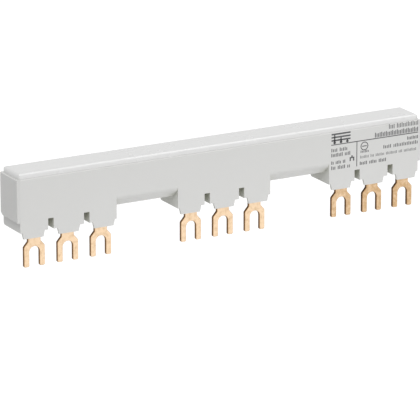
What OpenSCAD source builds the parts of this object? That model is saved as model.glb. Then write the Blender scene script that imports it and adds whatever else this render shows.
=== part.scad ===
// Comb busbar: a moulded bar that links three motor starters side by side.
// Three stamped copper combs lie one behind the other in an open trough,
// one for each phase, and each of them reaches down with one fork per device.
// X runs along the bar, Y from front to back, Z upwards.
// The origin is the centre of the round end of the middle screw slot,
// on the front face of the copper.

/* [Layout] */
// Number of devices that the bar links, an odd number
device_count = 3; // [1:2:5]
// Spacing of the devices along the bar
device_pitch = 63; // [58:0.5:72]
// Spacing of the three forks of one device
pole_pitch = 13.2; // [12.8:0.1:13.8]
// Spacing of the three copper combs, front to back
phase_step = 5.1; // [4.6:0.1:6.5]

/* [Housing] */
// Thickness of the outer walls
wall = 0.85; // [0.8:0.05:1.2]
// Thickness of the trough's floor
floor_t = 1; // [0.8:0.05:1.4]
// Height of the bar's underside above the screw slots
bar_lift = 11.5; // [11:0.1:14]
// Depth of the long chamfer under the front of the bar
chamfer_depth = 3.7; // [2.5:0.1:4.2]
// Height of the same chamfer
chamfer_height = 3.3; // [2.4:0.1:3.8]
// Reach of an outer tooth from its fork towards the middle of the device
tooth_inner = 5; // [4.8:0.1:5.4]
// Reach of an outer tooth from its fork towards the side of the device
tooth_outer = 5.9; // [5.4:0.1:6.4]
// Width of the open slots between the teeth
window_w = 2.2; // [1.6:0.1:2.4]
// Height by which these slots cut into the underside of the bar
window_rise = 0.3; // [0:0.1:0.4]
// Height of the teeth below the bar
tooth_drop = 3.8; // [3:0.1:4.8]
// Rounding of the teeth at their lower back edge
heel_r = 1; // [0.5:0.1:2]
// Height of the tongue that screens each fork in front, below its tooth
tongue_drop = 2.3; // [1.5:0.1:2.6]
// Width of a tongue where it leaves its tooth
tongue_top_w = 8.8; // [8:0.1:9.6]
// Width of a tongue at its lower edge
tongue_low_w = 7.7; // [6.5:0.1:7.9]
// Shift of the two outer tongues away from the middle of the device
tongue_shift = 0.3; // [0:0.1:0.6]
// Thickness of the cross ribs that hold the copper
rib_t = 1.2; // [0.8:0.1:1.6]
// Reach of the ribs up the copper strips
rib_reach = 6; // [4:0.5:7]

/* [Cover] */
// Height of the cover above the rim of the housing
cover_rise = 2.1; // [1.5:0.1:2.4]
// Step from the housing's long faces in to the cover
cover_inset = 0.4; // [0.2:0.05:0.6]
// Step from the end faces in to the cover
cover_end_inset = 0.8; // [0.4:0.1:1]
// Radius of the cover's rounded upper edges
cover_edge_r = 1.4; // [0.8:0.1:1.6]
// Depth of the two lips that enter the trough
lip_depth = 1.6; // [1.4:0.1:2.2]
// Thickness of the lips
lip_t = 0.9; // [0.7:0.1:1.2]
// Radius of the snap beads along the lips
bead_radius = 0.25; // [0.2:0.05:0.3]

/* [End caps] */
// Thickness of the end plates
cap_t = 1.2; // [1:0.1:1.6]
// Length of the plug that enters the trough
plug_len = 2.2; // [1.6:0.1:2.3]
// Length of the chamfer at the plate's lower back corner
cap_heel_depth = 1.6; // [1:0.1:2]
// Height of the same chamfer
cap_heel_height = 0.9; // [0.5:0.1:1.2]

/* [Copper combs] */
// Thickness of the copper strip
strip_t = 1.4; // [1:0.1:1.6]
// Height of the copper strip that runs along the bar
strip_h = 8.8; // [8:0.1:11]
// Width of the tags that leave the strip
tag_w = 6; // [5.2:0.1:6]
// Inner radius of the bends in the tags
bend_r = 0.6; // [0.4:0.1:0.9]
// Width of the neck above a fork
neck_w = 4.9; // [4.4:0.1:5.2]
// Height of the neck's lower end above the slot centre
neck_z = 3.9; // [3.6:0.1:4.4]
// Height of the fork's shoulders above the slot centre
crown_z = 2; // [1.6:0.1:2.4]
// Width over the two prongs
fork_w = 8.2; // [7.6:0.1:8.6]
// Width of the screw slot, with clearance for an M4 screw
slot_w = 4.1; // [4.1:0.1:4.4]
// Length of the prongs below the slot centre
prong_len = 5.4; // [4.8:0.1:6.4]
// Rounding of the prong tips
tip_r = 0.5; // [0.3:0.1:0.7]

/* [Separators] */
// Thickness of the insulating strips between the combs
separator_t = 1; // [0.6:0.1:1.4]
// Overlap of the insulating strips below and above the copper
separator_lap = 1.2; // [0.8:0.1:1.4]

/* [Fits and air gaps] */
// Play between pieces that slide into each other
clearance = 0.1; // [0.05:0.05:0.15]
// Gap between the trough's floor and the cross runs of the tags
tag_gap = 0.4; // [0.3:0.1:1]
// Air between a cross run and the copper strips above it
strip_gap = 2; // [1.6:0.1:3]
// Gap between the copper strips and the cover's lips
lip_gap = 0.6; // [0.4:0.1:1]
// Gap between the strips' ends and the end plates
end_gap = 0.5; // [0.3:0.1:0.9]

/* [Hidden] */
$fn = 64;
over = 1;
plastic = "#d4d4d2";
insulation = "#bfc1bd";
copper = "#e3b184";

housing_depth = 2 * (wall + clearance) + 2 * phase_step + strip_t;
front_y = -(wall + clearance);
back_y = front_y + housing_depth;
inner_front_y = front_y + wall;
inner_back_y = back_y - wall;

floor_z = bar_lift + floor_t;
run_z = floor_z + tag_gap + strip_t / 2;
strip_z = run_z + strip_t / 2 + strip_gap;
lip_z = strip_z + strip_h + lip_gap;
rim_z = lip_z + lip_depth;
separator_z = strip_z - separator_lap;
separator_h = strip_h + 2 * separator_lap;
rib_z = strip_z + rib_reach;
tooth_z = bar_lift - tooth_drop;
tongue_z = tooth_z - tongue_drop;

skirt_w = 2 * (pole_pitch + tooth_outer);
housing_len = (device_count - 1) * device_pitch + skirt_w;
half_len = housing_len / 2;
full_len = housing_len + 2 * cap_t;
strip_len = housing_len - 2 * end_gap;
window_x = pole_pitch - tooth_inner - window_w / 2;
middle_tooth_w = 2 * window_x - window_w;
outer_tooth_w = tooth_inner + tooth_outer;
outer_tooth_x = pole_pitch + (tooth_outer - tooth_inner) / 2;

// Where the long chamfer's inner face meets the front wall and the floor.
chamfer_slope = chamfer_height / chamfer_depth;
chamfer_wall = wall * sqrt(1 + chamfer_slope * chamfer_slope);
chamfer_in_z = bar_lift + chamfer_height - chamfer_slope * wall + chamfer_wall;
chamfer_in_y = front_y + (chamfer_height + chamfer_wall - floor_t) / chamfer_slope;

device_xs = [for (i = [0 : device_count - 1]) (i - (device_count - 1) / 2) * device_pitch];
gap_xs = [for (i = [1 : 1 : device_count - 1]) (i - device_count / 2) * device_pitch];
rib_xs = concat(gap_xs, [for (x = device_xs, side = [-1, 1]) x + side * window_x]);
// Each tooth of a device: its centre, its width and the centre of its tongue.
teeth = [
    [-outer_tooth_x, outer_tooth_w, -outer_tooth_x - tongue_shift],
    [0, middle_tooth_w, 0],
    [outer_tooth_x, outer_tooth_w, outer_tooth_x + tongue_shift]
];

// Extrudes an outline drawn in Y and Z along X, from x0 over len.
module along_x(x0, len) {
    translate([x0, 0, 0])
        rotate([90, 0, 90])
            linear_extrude(len)
                children();
}

// Extrudes an outline drawn in X and Z backwards, from y0 over len.
module along_y(y0, len) {
    translate([0, y0 + len, 0])
        rotate([90, 0, 0])
            linear_extrude(len)
                children();
}

// Rectangle whose corners are rounded: the upper two, or all four.
module soft_rectangle(w, h, r, all_four = false) {
    low = all_four ? r : 0;
    intersection() {
        square([w, h]);
        union() {
            translate([0, low])
                square([w, h - low - r]);
            translate([r, 0])
                square([w - 2 * r, h]);
            for (x = [r, w - r], z = all_four ? [r, h - r] : [h - r])
                translate([x, z])
                    circle(r);
            if (!all_four && h < 2 * r)
                square([w, h - r]);
        }
    }
}

// Section of the bar, with the chamfer under its front.
module bar_section() {
    polygon([
        [front_y, rim_z],
        [front_y, bar_lift + chamfer_height],
        [front_y + chamfer_depth, bar_lift],
        [back_y, bar_lift],
        [back_y, rim_z]
    ]);
}

// Section of the trough: the room inside the walls, up to the height top.
module trough_section(top, play = 0) {
    polygon([
        [inner_front_y + play, top],
        [inner_front_y + play, chamfer_in_z + play],
        [chamfer_in_y + play, floor_z + play],
        [inner_back_y - play, floor_z + play],
        [inner_back_y - play, top]
    ]);
}

// Section of a device's skirt, with its rounded heel.
module skirt_section() {
    difference() {
        translate([front_y, tooth_z])
            square([housing_depth, rim_z - tooth_z]);
        translate([back_y - heel_r, tooth_z])
            difference() {
                translate([0, -over])
                    square([heel_r + over, heel_r + over]);
                translate([0, heel_r])
                    circle(heel_r);
            }
    }
}

// Section of a cross rib: upright fingers with a seat for each strip between them.
module rib_section(play = 0) {
    difference() {
        trough_section(rib_z, play);
        for (k = [0 : 2])
            strip_slot(k * phase_step, strip_t, strip_z);
        for (k = [0 : 1])
            strip_slot(separator_y(k), separator_t, separator_z);
    }
}

module strip_slot(y, thickness, z) {
    translate([y - clearance, z])
        square([thickness + 2 * clearance, rim_z - z]);
}

// Front of the insulating strip that stands behind comb k.
function separator_y(k) = (k + 0.5) * phase_step + (strip_t - separator_t) / 2;

// Tongue below one tooth: the front wall goes on down to screen the fork.
module tongue_outline() {
    polygon([
        [-tongue_top_w / 2, tooth_z + wall],
        [-tongue_top_w / 2, tooth_z],
        [-tongue_low_w / 2, tongue_z],
        [tongue_low_w / 2, tongue_z],
        [tongue_top_w / 2, tooth_z],
        [tongue_top_w / 2, tooth_z + wall]
    ]);
}

// Room inside one tooth, open below, where the tags come down.
module tooth_room(w) {
    room_w = w - 2 * wall;
    translate([-room_w / 2, inner_front_y, tooth_z - over])
        cube([room_w, inner_back_y - inner_front_y, strip_z - tooth_z + over]);
}

// Straight round bar along X, for the snap beads and their grooves.
module long_round(y, r, len) {
    translate([-len / 2, y, lip_z + lip_depth / 2])
        rotate([0, 90, 0])
            cylinder(h = len, r = r);
}

module housing() {
    color(plastic) {
        difference() {
            union() {
                along_x(-half_len, housing_len)
                    bar_section();
                for (x = device_xs) {
                    along_x(x - skirt_w / 2, skirt_w)
                        skirt_section();
                    for (tooth = teeth)
                        along_y(front_y, wall)
                            translate([x + tooth[2], 0])
                                tongue_outline();
                }
            }
            along_x(-half_len - over, housing_len + 2 * over)
                trough_section(rim_z + over);
            for (x = device_xs) {
                for (tooth = teeth)
                    translate([x + tooth[0], 0, 0])
                        tooth_room(tooth[1]);
                for (side = [-1, 1])
                    translate([x + side * window_x - window_w / 2, front_y - over, tooth_z - over])
                        cube([window_w, housing_depth + 2 * over, over + tooth_drop + window_rise]);
            }
            for (y = [inner_front_y + clearance, inner_back_y - clearance])
                long_round(y, bead_radius + clearance, housing_len + 2 * over);
        }
        for (x = rib_xs)
            along_x(x - rib_t / 2, rib_t)
                rib_section();
    }
}

module cover() {
    len = full_len - 2 * cover_end_inset;
    depth = housing_depth - 2 * cover_inset;
    lip_len = housing_len - 2 * clearance;
    lip_front_y = inner_front_y + clearance;
    lip_back_y = inner_back_y - clearance;
    color(plastic) {
        intersection() {
            along_x(-len / 2, len)
                translate([front_y + cover_inset, rim_z])
                    soft_rectangle(depth, cover_rise, cover_edge_r);
            along_y(front_y, housing_depth)
                translate([-len / 2, rim_z])
                    soft_rectangle(len, cover_rise, cover_edge_r);
            translate([-len / 2, front_y + cover_inset, rim_z])
                linear_extrude(cover_rise)
                    soft_rectangle(len, depth, cover_edge_r, true);
        }
        for (y = [lip_front_y, lip_back_y - lip_t])
            translate([-lip_len / 2, y, lip_z])
                cube([lip_len, lip_t, lip_depth]);
        for (y = [lip_front_y, lip_back_y])
            long_round(y, bead_radius, lip_len);
    }
}

// End plate and its plug, drawn for the right end.
module end_cap() {
    plate_x = half_len;
    color(plastic) {
        along_x(plate_x, cap_t)
            polygon([
                [front_y, rim_z],
                [front_y, bar_lift],
                [back_y - cap_heel_depth, bar_lift],
                [back_y, bar_lift + cap_heel_height],
                [back_y, rim_z]
            ]);
        along_x(plate_x - plug_len, plug_len)
            rib_section(clearance);
    }
}

module end_cap_left() {
    mirror([1, 0, 0])
        end_cap();
}

module end_cap_right() {
    end_cap();
}

// One prong with its rounded tip.
module prong() {
    prong_w = (fork_w - slot_w) / 2;
    translate([slot_w / 2, -prong_len]) {
        translate([0, tip_r])
            square([prong_w, prong_len - tip_r]);
        translate([tip_r, 0])
            square([prong_w - 2 * tip_r, tip_r]);
        for (x = [tip_r, prong_w - tip_r])
            translate([x, tip_r])
                circle(tip_r);
    }
}

// Fork, neck and tag as they are stamped, up to the height top.
module fork_outline(top) {
    difference() {
        polygon([
            [-fork_w / 2, 0],
            [fork_w / 2, 0],
            [fork_w / 2, crown_z],
            [neck_w / 2, neck_z],
            [neck_w / 2, tooth_z],
            [tag_w / 2, tooth_z + (tag_w - neck_w) / 2],
            [tag_w / 2, top],
            [-tag_w / 2, top],
            [-tag_w / 2, tooth_z + (tag_w - neck_w) / 2],
            [-neck_w / 2, tooth_z],
            [-neck_w / 2, neck_z],
            [-fork_w / 2, crown_z]
        ]);
        circle(slot_w / 2);
    }
    for (side = [0, 1])
        mirror([side, 0])
            prong();
}

// Quarter of a bend, towards the signs of dy and dz from its centre.
module bend(dy, dz) {
    intersection() {
        difference() {
            circle(bend_r + strip_t);
            circle(bend_r);
        }
        mirror([dy < 0 ? 1 : 0, 0])
            mirror([0, dz < 0 ? 1 : 0])
                square(bend_r + strip_t + over);
    }
}

// Side view of a cranked tag: down from the strip, forwards under the
// strips in front of it, and down again in the plane of the forks.
module crank_section(strip_y) {
    upper_z = run_z + strip_t / 2 + bend_r;
    lower_z = run_z - strip_t / 2 - bend_r;
    run_y0 = strip_t + bend_r;
    run_y1 = strip_y - bend_r;
    translate([strip_y, upper_z])
        square([strip_t, strip_z - upper_z + over]);
    translate([run_y1, upper_z])
        bend(1, -1);
    translate([run_y0, run_z - strip_t / 2])
        square([run_y1 - run_y0, strip_t]);
    translate([run_y0, lower_z])
        bend(-1, 1);
    translate([0, lower_z - over])
        square([strip_t, over]);
}

// Comb of phase k: 0 lies in the plane of the forks, 1 and 2 behind it.
module phase_comb(k) {
    strip_y = k * phase_step;
    crank_z = run_z - strip_t / 2 - bend_r;
    color(copper) {
        translate([-strip_len / 2, strip_y, strip_z])
            cube([strip_len, strip_t, strip_h]);
        for (x = device_xs)
            translate([x + (k - 1) * pole_pitch, 0, 0]) {
                along_y(0, strip_t)
                    fork_outline(k == 0 ? strip_z + over : crank_z);
                if (k > 0)
                    along_x(-tag_w / 2, tag_w)
                        crank_section(strip_y);
            }
    }
}

module phase_comb_l1() {
    phase_comb(0);
}

module phase_comb_l2() {
    phase_comb(1);
}

module phase_comb_l3() {
    phase_comb(2);
}

module separator(k) {
    color(insulation)
        translate([-strip_len / 2, separator_y(k), separator_z])
            cube([strip_len, separator_t, separator_h]);
}

module separator_l1_l2() {
    separator(0);
}

module separator_l2_l3() {
    separator(1);
}

housing();
cover();
end_cap_left();
end_cap_right();
phase_comb_l1();
phase_comb_l2();
phase_comb_l3();
separator_l1_l2();
separator_l2_l3();
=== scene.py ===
import math

import bpy
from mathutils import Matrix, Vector


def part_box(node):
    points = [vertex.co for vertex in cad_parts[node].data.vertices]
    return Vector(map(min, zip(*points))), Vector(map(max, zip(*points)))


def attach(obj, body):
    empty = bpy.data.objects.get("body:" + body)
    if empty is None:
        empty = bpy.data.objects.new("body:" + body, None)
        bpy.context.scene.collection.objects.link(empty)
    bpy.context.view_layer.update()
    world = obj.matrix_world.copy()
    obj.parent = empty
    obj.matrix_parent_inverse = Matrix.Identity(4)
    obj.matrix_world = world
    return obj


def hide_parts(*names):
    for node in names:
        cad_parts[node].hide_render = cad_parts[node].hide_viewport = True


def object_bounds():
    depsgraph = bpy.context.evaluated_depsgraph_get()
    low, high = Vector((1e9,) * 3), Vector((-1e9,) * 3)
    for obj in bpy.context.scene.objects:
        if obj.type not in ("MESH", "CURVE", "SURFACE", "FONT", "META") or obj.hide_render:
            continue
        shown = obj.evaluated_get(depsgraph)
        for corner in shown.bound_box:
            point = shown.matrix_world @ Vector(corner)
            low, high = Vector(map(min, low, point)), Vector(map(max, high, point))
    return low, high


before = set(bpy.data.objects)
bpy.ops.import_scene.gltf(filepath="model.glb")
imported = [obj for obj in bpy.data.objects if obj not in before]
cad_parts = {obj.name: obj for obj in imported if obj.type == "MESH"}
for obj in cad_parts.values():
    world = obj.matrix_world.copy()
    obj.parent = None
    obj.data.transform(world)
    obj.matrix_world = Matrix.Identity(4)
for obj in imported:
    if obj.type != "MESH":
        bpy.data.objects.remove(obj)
cad_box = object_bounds()

# ---------------------------------------------------------------------------
# Camera. The bar is seen from its front left, a little from above, through a
# long lens, so that it runs away to the right with its forks hanging down.
# ---------------------------------------------------------------------------
view_turn = math.radians(29.0)
view_tilt = math.radians(16.8)
view_distance = 1.3808
view_focus = Vector((-0.00527, 0.00035, 0.00491))
lens_mm = 327.7
sensor_mm = 36.0

bpy.ops.object.select_all(action="DESELECT")
bpy.ops.object.camera_add()
camera = bpy.context.object
camera.name = "camera"
camera.data.lens = lens_mm
camera.data.sensor_width = sensor_mm
camera.data.clip_start = 0.05
camera.data.clip_end = 20.0
camera.rotation_euler = (math.radians(90) - view_tilt, 0.0, -view_turn)
sight = Vector((
    math.sin(view_turn) * math.cos(view_tilt),
    math.cos(view_turn) * math.cos(view_tilt),
    -math.sin(view_tilt),
))
camera.location = view_focus - view_distance * sight
bpy.context.scene.camera = camera

# ---------------------------------------------------------------------------
# Housing. The trough that carries everything: one piece, injection moulded in
# light grey glass-filled plastic, so every outside edge has a small radius and
# the faces keep the fine spark-eroded grain of the mould. Its slots and corners
# carry painted shade: a mask of how closed in a spot is makes them darker and greener.
# ---------------------------------------------------------------------------
housing_colour = (0.640, 0.640, 0.628)
housing_edge_r = 0.00016
rim_edge_r = 0.00034
chamfer_soft = 0.0012
sharp_angle = math.radians(35)
smooth_angle = math.radians(40)
flat_angle = math.radians(0.5)
same_place = 0.00002
same_point = 0.000001
mould_grain_size = 0.00022
mould_grain_depth = 0.000012
noise_low, noise_high = 0.3, 0.7
cloud_scale = 55.0
cloud_tones = (0.985, 0.985, 0.982), (1.015, 1.015, 1.018)
# Painted shade in slots and corners: how far the occlusion looks, and the darker, greener tone it
# leads to.
painted_shade_reach = 0.014
painted_shade_tone = (0.71, 0.73, 0.60)


def merged_copy(node, name):
    """A CAD node's copy, with its triangles merged to whole faces."""
    bpy.ops.object.select_all(action="DESELECT")
    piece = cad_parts[node].copy()
    piece.data = piece.data.copy()
    piece.name = name
    for key in [key for key in piece.keys() if key.startswith("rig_")]:
        del piece[key]
    bpy.context.collection.objects.link(piece)
    piece.select_set(True)
    bpy.context.view_layer.objects.active = piece
    bpy.ops.object.mode_set(mode="EDIT")
    bpy.ops.mesh.select_all(action="SELECT")
    bpy.ops.mesh.remove_doubles(threshold=same_point)
    bpy.ops.mesh.dissolve_limited(angle_limit=flat_angle)
    bpy.ops.mesh.select_all(action="DESELECT")
    bpy.ops.object.mode_set(mode="OBJECT")
    piece.data.materials.clear()
    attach(piece, "root")
    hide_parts(node)
    return piece


def round_edges(piece, edge_r, edge_steps=3, picked=None):
    """Rounds a piece's sharp edges: all of them, or those that picked says yes to."""
    mesh = piece.data
    for part in (mesh.vertices, mesh.edges, mesh.polygons):
        part.foreach_set("select", [False] * len(part))
    faces_of = {}
    for face in mesh.polygons:
        for key in face.edge_keys:
            faces_of.setdefault(key, []).append(face.normal)
    for edge in mesh.edges:
        normals = faces_of.get(tuple(sorted(edge.vertices)), [])
        start, end = (mesh.vertices[index].co for index in edge.vertices)
        if len(normals) == 2 and normals[0].angle(normals[1]) > sharp_angle:
            edge.select = picked is None or picked(start, end)
    bpy.context.view_layer.objects.active = piece
    bpy.context.tool_settings.mesh_select_mode = (False, True, False)
    bpy.ops.object.mode_set(mode="EDIT")
    bpy.ops.mesh.bevel(offset=edge_r, segments=edge_steps, clamp_overlap=True)
    bpy.ops.mesh.select_all(action="DESELECT")
    bpy.ops.object.mode_set(mode="OBJECT")


def smooth_rounded(piece):
    """Shades the roundings smooth and keeps the wide faces between them flat."""
    bpy.context.view_layer.objects.active = piece
    bpy.ops.object.shade_smooth_by_angle(angle=smooth_angle)
    flat_faces = piece.modifiers.new("flat_faces", "WEIGHTED_NORMAL")
    flat_faces.weight = 100
    flat_faces.keep_sharp = True
    bpy.ops.object.modifier_apply(modifier=flat_faces.name)


def effect_group(name, inputs, outputs):
    """An empty node group with the named float inputs and outputs."""
    group = bpy.data.node_groups.new(name, "ShaderNodeTree")
    for socket in inputs:
        group.interface.new_socket(socket, in_out="INPUT", socket_type="NodeSocketFloat")
    for socket in outputs:
        group.interface.new_socket(socket, in_out="OUTPUT", socket_type="NodeSocketFloat")
    return group


def mould_grain_group():
    """Grain of a spark-eroded mould, clouds that the melt leaves, and a mask of painted shade that
    grows with how closed in a spot is.
    """
    group = effect_group("mould_grain", ["Grain Size"], ["Height", "Cloud", "Painted Shade"])
    nodes, links = group.nodes, group.links
    entry = nodes.new("NodeGroupInput")
    out = nodes.new("NodeGroupOutput")
    place = nodes.new("ShaderNodeTexCoord")
    per_metre = nodes.new("ShaderNodeMath")
    per_metre.operation = "DIVIDE"
    per_metre.inputs[0].default_value = 1.0
    links.new(entry.outputs["Grain Size"], per_metre.inputs[1])
    grain = nodes.new("ShaderNodeTexNoise")
    grain.inputs["Detail"].default_value = 2.0
    grain.inputs["Roughness"].default_value = 0.6
    links.new(place.outputs["Object"], grain.inputs["Vector"])
    links.new(per_metre.outputs["Value"], grain.inputs["Scale"])
    links.new(grain.outputs["Fac"], out.inputs["Height"])
    cloud = nodes.new("ShaderNodeTexNoise")
    cloud.inputs["Scale"].default_value = cloud_scale
    cloud.inputs["Detail"].default_value = 3.0
    links.new(place.outputs["Object"], cloud.inputs["Vector"])
    links.new(cloud.outputs["Fac"], out.inputs["Cloud"])
    # Painted shade: occlusion within the reach gives the mask that darkens and greens closed-in
    # spots.
    open_sky = nodes.new("ShaderNodeAmbientOcclusion")
    open_sky.samples = 16
    open_sky.only_local = True
    open_sky.inputs["Distance"].default_value = painted_shade_reach
    painted_shade_mask = nodes.new("ShaderNodeMath")
    painted_shade_mask.operation = "SUBTRACT"
    painted_shade_mask.inputs[0].default_value = 1.0
    links.new(open_sky.outputs["AO"], painted_shade_mask.inputs[1])
    links.new(painted_shade_mask.outputs["Value"], out.inputs["Painted Shade"])
    return group


mould_grain = mould_grain_group()


def toned(colour, tone):
    """A colour with each channel times the tone's, and an alpha of 1."""
    return tuple(part * share for part, share in zip(colour, tone)) + (1.0,)


def between(material, bright, dark, mask):
    """A mix of two colours by a mask, where the first may be another node's output."""
    mix = material.node_tree.nodes.new("ShaderNodeMix")
    mix.data_type = "RGBA"
    if isinstance(bright, tuple):
        mix.inputs["A"].default_value = bright
    else:
        material.node_tree.links.new(bright, mix.inputs["A"])
    mix.inputs["B"].default_value = dark
    material.node_tree.links.new(mask, mix.inputs["Factor"])
    return mix.outputs["Result"]


def finish_surface(material, colour, worn, smooth, dull, height, depth):
    """Links a colour, a gloss that follows worn from smooth to dull, and a bump of a depth."""
    nodes, links = material.node_tree.nodes, material.node_tree.links
    shader = nodes["Principled BSDF"]
    links.new(colour, shader.inputs["Base Color"])
    gloss = nodes.new("ShaderNodeMapRange")
    gloss.inputs["From Min"].default_value = noise_low
    gloss.inputs["From Max"].default_value = noise_high
    gloss.inputs["To Min"].default_value = smooth
    gloss.inputs["To Max"].default_value = dull
    links.new(worn, gloss.inputs["Value"])
    links.new(gloss.outputs["Result"], shader.inputs["Roughness"])
    bump = nodes.new("ShaderNodeBump")
    bump.inputs["Strength"].default_value = 1.0
    bump.inputs["Distance"].default_value = depth
    links.new(height, bump.inputs["Height"])
    links.new(bump.outputs["Normal"], shader.inputs["Normal"])


def moulded_plastic(name, colour, smooth, dull):
    """Moulded plastic: cloudy by about 1.5 percent, with painted shade that makes its hollows darker
    and greener.
    """
    material = bpy.data.materials.new(name)
    material.use_nodes = True
    effect = material.node_tree.nodes.new("ShaderNodeGroup")
    effect.node_tree = mould_grain
    effect.inputs["Grain Size"].default_value = mould_grain_size
    thin, thick = (toned(colour, tone) for tone in cloud_tones)
    cloudy = between(material, thin, thick, effect.outputs["Cloud"])
    # Painted shade: the colour goes darker and greener where a spot is closed in.
    cloudy_with_painted_shade = between(material, cloudy, toned(colour, painted_shade_tone), effect.outputs["Painted Shade"])
    finish_surface(material, cloudy_with_painted_shade, effect.outputs["Cloud"], smooth, dull,
                   effect.outputs["Height"], mould_grain_depth)
    return material


# Where the outer edges lie: the two long faces, the skirts' sides and the slots' sides.
housing_low, housing_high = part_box("housing")
device_pitch = 0.063
skirt_half = housing_high.x - device_pitch
slot_sides = (0.0060, 0.0082)
slot_rise = 0.0004
bar_foot = 0.0115
chamfer_top = 0.0148
chamfer_depth = 0.0037
chamfer_foot_y = housing_low.y + chamfer_depth


def near(value, place):
    return abs(value - place) < same_place


def on_chamfer_top(start, end):
    """The long chamfer's upper edge, between two skirts."""
    return all(near(point.y, housing_low.y) and near(point.z, chamfer_top) for point in (start, end))


def on_chamfer_foot(start, end):
    """The long chamfer's lower edge, between two skirts."""
    return all(near(point.y, chamfer_foot_y) and near(point.z, bar_foot) for point in (start, end))


def on_rim(start, end):
    """The long outer edges of the trough's rim, below the cover."""
    long_sides = (housing_low.y, housing_high.y)
    return all(near(point.z, housing_high.z) and any(near(point.y, side) for side in long_sides)
               for point in (start, end))


def on_outer_edge(start, end):
    """Edges of the long faces, of the skirts' sides and of the slots between the teeth."""
    middle = (start + end) / 2
    rim_foot = housing_high.z - rim_edge_r
    if abs(middle.x) > housing_high.x - same_place or middle.z > rim_foot - same_place:
        return False
    if middle.y < housing_low.y + same_place or middle.y > housing_high.y - same_place:
        return True
    for centre in (-device_pitch, 0.0, device_pitch):
        for half in (skirt_half, *slot_sides):
            for side in (-1, 1):
                plane = centre + side * half
                if near(start.x, plane) and near(end.x, plane):
                    skirt_top = chamfer_top + chamfer_soft
                    return middle.z < (skirt_top if half == skirt_half else bar_foot + slot_rise)
    return False


housing = merged_copy("housing", "moulded_housing")
bpy.ops.object.mode_set(mode="EDIT")
for side_x in (skirt_half, device_pitch - skirt_half):
    for side in (-1, 1):
        bpy.ops.mesh.select_all(action="SELECT")
        bpy.ops.mesh.bisect(plane_co=(side * side_x, 0, 0), plane_no=(1, 0, 0))
bpy.ops.object.mode_set(mode="OBJECT")
round_edges(housing, rim_edge_r, 5, on_rim)
round_edges(housing, chamfer_soft, 6, on_chamfer_top)
round_edges(housing, chamfer_soft / 2, 4, on_chamfer_foot)
round_edges(housing, housing_edge_r, 3, on_outer_edge)
smooth_rounded(housing)
housing.data.materials.append(moulded_plastic("housing_plastic", housing_colour, 0.42, 0.52))

# ---------------------------------------------------------------------------
# Phase combs. Three strips stamped from hard copper and folded, lying one
# behind the other. Rolling leaves fine lines along the sheet, and the punch
# leaves cut edges that are rougher and browner than the faces; their dark brown
# is partly painted shade. The rims that the punch rolled over carry painted
# shade: a darker copper tone.
# ---------------------------------------------------------------------------
copper_colour = (0.885, 0.672, 0.462)
warm_copper_colour = (0.600, 0.400, 0.218)
rim_colour_in_painted_shade = (0.640, 0.430, 0.245)
# The rolled rims' two tones are painted shade: the copper darkened where its rounding would reflect
# less.
dull_rim_colour_in_painted_shade = (0.430, 0.265, 0.130)
# The cut edges' two tones are their rough brown together with painted shade.
cut_copper_and_painted_shade_colour = (0.190, 0.100, 0.042)
torn_copper_and_painted_shade_colour = (0.100, 0.048, 0.019)
die_roll_r = 0.00024
rolled_lines_stretch = 0.06
rolled_lines_scale = 9000.0
tarnish_scale = 620.0
tarnish_from_x = 0.018
tarnish_to_x = 0.062
tarnish_gain = 0.27
tarnish_range = (0.46, 0.84)
sheet_run_low = 0.0121
sheet_run_high = 0.0151


def rolled_grain_group():
    """Lines that rolling leaves along a sheet, and the slow drift of its tarnish."""
    group = effect_group("rolled_grain", [], ["Lines", "Tarnish"])
    nodes, links = group.nodes, group.links
    out = nodes.new("NodeGroupOutput")
    place = nodes.new("ShaderNodeTexCoord")
    along = nodes.new("ShaderNodeMapping")
    along.inputs["Scale"].default_value = (rolled_lines_stretch, 1.0, 1.0)
    links.new(place.outputs["Object"], along.inputs["Vector"])
    lines = nodes.new("ShaderNodeTexNoise")
    lines.inputs["Scale"].default_value = rolled_lines_scale
    lines.inputs["Detail"].default_value = 3.0
    lines.inputs["Roughness"].default_value = 0.65
    links.new(along.outputs["Vector"], lines.inputs["Vector"])
    links.new(lines.outputs["Fac"], out.inputs["Lines"])
    tarnish = nodes.new("ShaderNodeTexNoise")
    tarnish.inputs["Scale"].default_value = tarnish_scale
    tarnish.inputs["Detail"].default_value = 5.0
    tarnish.inputs["Roughness"].default_value = 0.62
    links.new(place.outputs["Object"], tarnish.inputs["Vector"])
    axes = nodes.new("ShaderNodeSeparateXYZ")
    links.new(place.outputs["Object"], axes.inputs["Vector"])
    drift = nodes.new("ShaderNodeMapRange")
    drift.interpolation_type = "SMOOTHSTEP"
    drift.inputs["From Min"].default_value = tarnish_from_x
    drift.inputs["From Max"].default_value = tarnish_to_x
    drift.inputs["To Max"].default_value = tarnish_gain
    links.new(axes.outputs["X"], drift.inputs["Value"])
    both = nodes.new("ShaderNodeMath")
    links.new(tarnish.outputs["Fac"], both.inputs[0])
    links.new(drift.outputs["Result"], both.inputs[1])
    links.new(both.outputs["Value"], out.inputs["Tarnish"])
    return group


rolled_grain = rolled_grain_group()


def copper_finish(name, bright, dark, smooth, dull, line_depth):
    """Bare copper between two tones, with the rolled lines in its gloss and its surface."""
    material = bpy.data.materials.new(name)
    material.use_nodes = True
    nodes, links = material.node_tree.nodes, material.node_tree.links
    nodes["Principled BSDF"].inputs["Metallic"].default_value = 1.0
    effect = nodes.new("ShaderNodeGroup")
    effect.node_tree = rolled_grain
    spread = nodes.new("ShaderNodeMapRange")
    spread.inputs["From Min"].default_value, spread.inputs["From Max"].default_value = tarnish_range
    links.new(effect.outputs["Tarnish"], spread.inputs["Value"])
    tone = between(material, (*bright, 1.0), (*dark, 1.0), spread.outputs["Result"])
    lines = effect.outputs["Lines"]
    finish_surface(material, tone, lines, smooth, dull, lines, line_depth)
    return material


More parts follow.
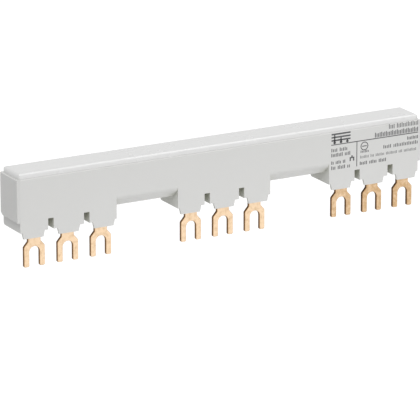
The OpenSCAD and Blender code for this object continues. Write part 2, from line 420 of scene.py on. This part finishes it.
copper_finishes = [
    copper_finish("rolled_copper", copper_colour, warm_copper_colour, 0.34, 0.46, 0.000002),
    copper_finish("rim_copper_in_painted_shade", rim_colour_in_painted_shade, dull_rim_colour_in_painted_shade, 0.40, 0.55, 0.000004),
    copper_finish("cut_copper_and_painted_shade", cut_copper_and_painted_shade_colour, torn_copper_and_painted_shade_colour, 0.50, 0.68, 0.000008),
]


def comb_finish(face):
    """0 for the sheet's own surface, 1 for the rim that the punch rolled over, in painted shade, 2
    for its cut, brown and in painted shade.
    """
    sheet_turn, rim_turn, side_turn = 0.93, 0.55, 0.3
    on_cross_run = abs(face.normal.x) < side_turn and sheet_run_low < face.center.z < sheet_run_high
    if on_cross_run or abs(face.normal.y) > sheet_turn:
        return 0
    return 1 if abs(face.normal.y) > rim_turn else 2


for phase in ("l1", "l2", "l3"):
    comb = merged_copy("phase_comb_" + phase, "stamped_comb_" + phase)
    round_edges(comb, die_roll_r, 4)
    smooth_rounded(comb)
    for finish in copper_finishes:
        comb.data.materials.append(finish)
    for face in comb.data.polygons:
        face.material_index = comb_finish(face)

# ---------------------------------------------------------------------------
# Separators. Two insulating strips, slid into the ribs between the combs: cut
# from extruded plastic strip, a shade darker and duller than the housing.
# ---------------------------------------------------------------------------
separator_colour = (0.50, 0.51, 0.49)
separator_edge_r = 0.00008

separator_plastic = moulded_plastic("separator_plastic", separator_colour, 0.52, 0.64)
for pair in ("l1_l2", "l2_l3"):
    separator = merged_copy("separator_" + pair, "insulating_strip_" + pair)
    round_edges(separator, separator_edge_r, 2)
    smooth_rounded(separator)
    separator.data.materials.append(separator_plastic)

# ---------------------------------------------------------------------------
# End caps. A moulded plate closes each end of the trough, held by its plug. It
# is flush with the walls, so that only a fine upright seam shows in front.
# ---------------------------------------------------------------------------
# The end caps' grey is a little below the housing's, partly as painted shade on their end faces.
end_cap_grey_and_painted_shade = (0.625, 0.625, 0.613)
end_cap_edge_r = 0.00036
seam_edge_r = 0.00005


def on_plate_outside(start, end):
    """The outer edges of an end plate, on the face that looks away from the bar."""
    return all(near(abs(point.x), cad_box[1].x) for point in (start, end))


def on_plate_inside(start, end):
    """The end plate's edges along the housing's end, and those of its plug."""
    return not near(abs(start.x), cad_box[1].x) and not near(abs(end.x), cad_box[1].x)


end_cap_plastic = moulded_plastic("end_cap_plastic", end_cap_grey_and_painted_shade, 0.40, 0.50)
for side in ("left", "right"):
    end_cap = merged_copy("end_cap_" + side, "moulded_end_cap_" + side)
    round_edges(end_cap, end_cap_edge_r, 5, on_plate_outside)
    round_edges(end_cap, seam_edge_r, 2, on_plate_inside)
    smooth_rounded(end_cap)
    end_cap.data.materials.append(end_cap_plastic)

# ---------------------------------------------------------------------------
# Cover. The lid is moulded in the same family of grey and clips into the trough,
# with soft upper edges all round. Its grey is a little lighter, partly its own
# and partly painted light that brightens its top.
# ---------------------------------------------------------------------------
# Partly painted light: this grey is raised a little to brighten the cover's top face.
cover_grey_and_painted_light = (0.705, 0.705, 0.700)
cover_edge_r = 0.00009

cover = merged_copy("cover", "moulded_cover")
round_edges(cover, cover_edge_r)
smooth_rounded(cover)
cover.data.materials.append(moulded_plastic("cover_plastic", cover_grey_and_painted_light, 0.24, 0.32))

# ---------------------------------------------------------------------------
# Marking. Pad printed in dark grey ink on the front of the last skirt: two
# rules, a small wiring plan of the three combs, the signs of a screw head and
# of a fork, and rows of plain blocks where a maker would print words.
# ---------------------------------------------------------------------------
ink_colour = (0.090, 0.090, 0.094)
ink_film = 0.000012
ink_bite = 0.000010
front_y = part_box("housing")[0][1]

# Rows of blocks: left end, foot, length and height of the row, how much of a
# block's pitch is inked, and the number of blocks in each group.
block_rows = [
    (0.0694, 0.02550, 0.0126, 0.00180, 0.46, (4, 14)),
    (0.0634, 0.02300, 0.0186, 0.00185, 0.56, (28,)),
    (0.0774, 0.02030, 0.0046, 0.00125, 0.56, (8,)),
    (0.0671, 0.01830, 0.0148, 0.00135, 0.50, (5, 15)),
    (0.0572, 0.01585, 0.0240, 0.00110, 0.40, (7, 3, 7, 9, 3, 10)),
    (0.0570, 0.01340, 0.0112, 0.00130, 0.54, (5, 5, 5)),
    (0.0573, 0.01795, 0.0034, 0.00095, 0.50, (6,)),
    (0.0448, 0.01990, 0.0067, 0.00135, 0.50, (4, 5)),
    (0.0448, 0.01800, 0.0080, 0.00140, 0.52, (8, 4)),
    (0.0448, 0.01520, 0.0059, 0.00125, 0.54, (2, 4, 2)),
    (0.0448, 0.01315, 0.0079, 0.00140, 0.52, (3, 5, 2)),
]
group_space = 1.1
block_heights = (1.0, 0.80, 0.80, 0.92, 1.0, 0.80, 0.92)


def ink_bar(x, z, width, height):
    """One printed bar from its lower left corner: a film with its foot just in the plastic."""
    bpy.ops.object.select_all(action="DESELECT")
    bpy.ops.mesh.primitive_cube_add(size=1.0)
    bar = bpy.context.object
    bar.scale = (width, ink_film + ink_bite, height)
    bar.location = (x + width / 2, front_y + (ink_bite - ink_film) / 2, z + height / 2)
    return bar


def ink_dot(x, z, radius):
    """One printed round spot."""
    bpy.ops.object.select_all(action="DESELECT")
    bpy.ops.mesh.primitive_cylinder_add(vertices=32, radius=radius, depth=ink_film + ink_bite)
    dot = bpy.context.object
    dot.rotation_euler.x = math.radians(90)
    dot.location = (x, front_y + (ink_bite - ink_film) / 2, z)
    return dot


def ink_ring(x, z, radius, line):
    """One printed ring: an open circle drawn out to a band, and the band to a film."""
    bpy.ops.object.select_all(action="DESELECT")
    bpy.ops.mesh.primitive_circle_add(vertices=56, radius=radius, fill_type="NOTHING")
    ring = bpy.context.object
    bpy.ops.object.mode_set(mode="EDIT")
    bpy.ops.mesh.select_all(action="SELECT")
    inner = (radius - line) / radius
    bpy.ops.mesh.extrude_edges_move()
    bpy.ops.transform.resize(value=(inner, inner, 1.0))
    bpy.ops.mesh.select_all(action="SELECT")
    bpy.ops.mesh.extrude_region_move(
        TRANSFORM_OT_translate={"value": (0.0, 0.0, ink_film + ink_bite)})
    bpy.ops.mesh.select_all(action="SELECT")
    bpy.ops.mesh.normals_make_consistent(inside=False)
    bpy.ops.object.mode_set(mode="OBJECT")
    ring.rotation_euler.x = math.radians(90)
    ring.location = (x, front_y + ink_bite, z)
    return ring


# The long rule and the upright one that divides the field below it.
rule_line = 0.00034
prints = [ink_bar(0.0447, 0.02245, 0.0374, rule_line), ink_bar(0.0555, 0.01310, rule_line, 0.0094)]

# The wiring plan: three long bars, one for each comb, each with its own tap and its dot.
plan_left, plan_foot, plan_width = 0.0448, 0.02320, 0.0081
plan_bar, plan_top, plan_step = 0.00060, 0.00310, 0.00118
tap_width, tap_first, tap_step = 0.00052, 0.00135, 0.00270
dot_lift, dot_radius = 0.00020, 0.00055
for k in range(3):
    bar_z = plan_foot + plan_top - k * plan_step
    tap_x = plan_left + tap_first + k * tap_step
    prints.append(ink_bar(plan_left, bar_z, plan_width, plan_bar))
    prints.append(ink_bar(tap_x - tap_width / 2, plan_foot, tap_width, bar_z - plan_foot))
    prints.append(ink_dot(tap_x, plan_foot + dot_lift, dot_radius))

# The screw head: a ring with its slot.
sign_x, sign_z, sign_radius = 0.0589, 0.02045, 0.00165
slot_length, slot_width = 0.00200, 0.00038
prints.append(ink_ring(sign_x, sign_z, sign_radius, rule_line))
prints.append(ink_bar(sign_x - slot_length / 2, sign_z - slot_width / 2, slot_length, slot_width))

# The fork: a neck, a shoulder and two prongs, as left end, foot, width and height.
fork_x, fork_z = 0.0536, 0.01550
fork_bars = [
    (-0.00030, 0.00150, 0.00060, 0.00060),
    (-0.00100, 0.00105, 0.00200, 0.00045),
    (-0.00100, 0.0, 0.00055, 0.00105),
    (0.00045, 0.0, 0.00055, 0.00105),
]
for left, foot, width, height in fork_bars:
    prints.append(ink_bar(fork_x + left, fork_z + foot, width, height))

for row_x, row_z, length, height, share, groups in block_rows:
    pitch = length / (sum(groups) - (1 - share) + group_space * (len(groups) - 1))
    x = row_x
    count = 0
    for blocks in groups:
        for _ in range(blocks):
            block_height = height * block_heights[count % len(block_heights)]
            prints.append(ink_bar(x, row_z, pitch * share, block_height))
            x += pitch
            count += 1
        x += pitch * group_space

bpy.ops.object.select_all(action="DESELECT")
for mark in prints:
    mark.select_set(True)
bpy.context.view_layer.objects.active = prints[0]
bpy.ops.object.join()
bpy.ops.object.transform_apply(location=True, rotation=True, scale=True)
marking = bpy.context.object
marking.name = "printed_marking"
marking.data.materials.clear()
marking.data.materials.append(moulded_plastic("marking_ink", ink_colour, 0.45, 0.60))
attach(marking, "root")

# ---------------------------------------------------------------------------
# Studio. A pale floor well below the bar, a bright pale room, and three large
# soft lamps: one from above the front left, one low in front, and one at the
# upper right that only draws a line of light along the cover's edge.
# ---------------------------------------------------------------------------
floor_size = 12.0
floor_drop = 0.30
floor_grey = 0.50
floor_glow = 0.60
room_level = 0.538
key_level = 1.62
key_spread = math.radians(40)
key_aim = (-0.28, -0.50, 0.82)
fill_watts = 0.66
fill_place = (0.05, -0.26, -0.27)
fill_size = (0.36, 0.14)
softbox_watts = 1.9
softbox_place = (0.278, -0.120, 0.516)
softbox_size = (0.46, 0.34)


def seen_directly(nodes, links):
    """1 for camera, glossy and transmission rays, and 0 for the rays that light things."""
    rays = nodes.new("ShaderNodeLightPath")
    either = nodes.new("ShaderNodeMath")
    either.operation = "MAXIMUM"
    links.new(rays.outputs["Is Camera Ray"], either.inputs[0])
    links.new(rays.outputs["Is Glossy Ray"], either.inputs[1])
    any_of_them = nodes.new("ShaderNodeMath")
    any_of_them.operation = "MAXIMUM"
    links.new(either.outputs["Value"], any_of_them.inputs[0])
    links.new(rays.outputs["Is Transmission Ray"], any_of_them.inputs[1])
    return any_of_them.outputs["Value"]


def aimed_at_bar(place):
    """The turn that makes a lamp shine towards the bar from that place or direction."""
    return Vector(place).to_track_quat("Z", "Y").to_euler()


def soft_lamp(name, watts, place, size):
    """An oblong lamp that shines on the bar and isn't seen by the camera."""
    bpy.ops.object.light_add(type="AREA", location=place)
    lamp = bpy.context.object
    lamp.name = name
    lamp.data.energy = watts
    lamp.data.shape = "RECTANGLE"
    lamp.data.size, lamp.data.size_y = size
    lamp.rotation_euler = aimed_at_bar(place)
    lamp.visible_camera = False
    return lamp


bpy.ops.object.select_all(action="DESELECT")
bpy.ops.mesh.primitive_plane_add(size=floor_size, location=(0, 0, cad_box[0].z - floor_drop))
floor = bpy.context.object
floor.name = "floor"
floor_paint = bpy.data.materials.new("floor_paint")
floor_paint.use_nodes = True
nodes, links = floor_paint.node_tree.nodes, floor_paint.node_tree.links
paint = nodes["Principled BSDF"]
paint.inputs["Base Color"].default_value = (floor_grey, floor_grey, floor_grey, 1.0)
paint.inputs["Roughness"].default_value = 0.9
glow = nodes.new("ShaderNodeMath")
glow.operation = "MULTIPLY"
glow.inputs[1].default_value = floor_glow
links.new(seen_directly(nodes, links), glow.inputs[0])
paint.inputs["Emission Color"].default_value = (1.0, 1.0, 1.0, 1.0)
links.new(glow.outputs["Value"], paint.inputs["Emission Strength"])
floor.data.materials.append(floor_paint)

room = bpy.data.worlds.new("pale_room")
bpy.context.scene.world = room
room.use_nodes = True
nodes, links = room.node_tree.nodes, room.node_tree.links
sky = nodes["Background"]
sky.inputs["Color"].default_value = (1.0, 1.0, 1.0, 1.0)
level = nodes.new("ShaderNodeMapRange")
level.inputs["To Min"].default_value = room_level
level.inputs["To Max"].default_value = 1.0
links.new(seen_directly(nodes, links), level.inputs["Value"])
links.new(level.outputs["Result"], sky.inputs["Strength"])

bpy.ops.object.light_add(type="SUN")
key = bpy.context.object
key.name = "key_lamp"
key.data.energy = key_level
key.data.angle = key_spread
key.rotation_euler = aimed_at_bar(key_aim)

fill = soft_lamp("low_front_lamp", fill_watts, fill_place, fill_size)
fill.visible_glossy = False
softbox = soft_lamp("upper_right_softbox", softbox_watts, softbox_place, softbox_size)
softbox.visible_diffuse = False

bpy.context.scene.view_settings.view_transform = "Standard"
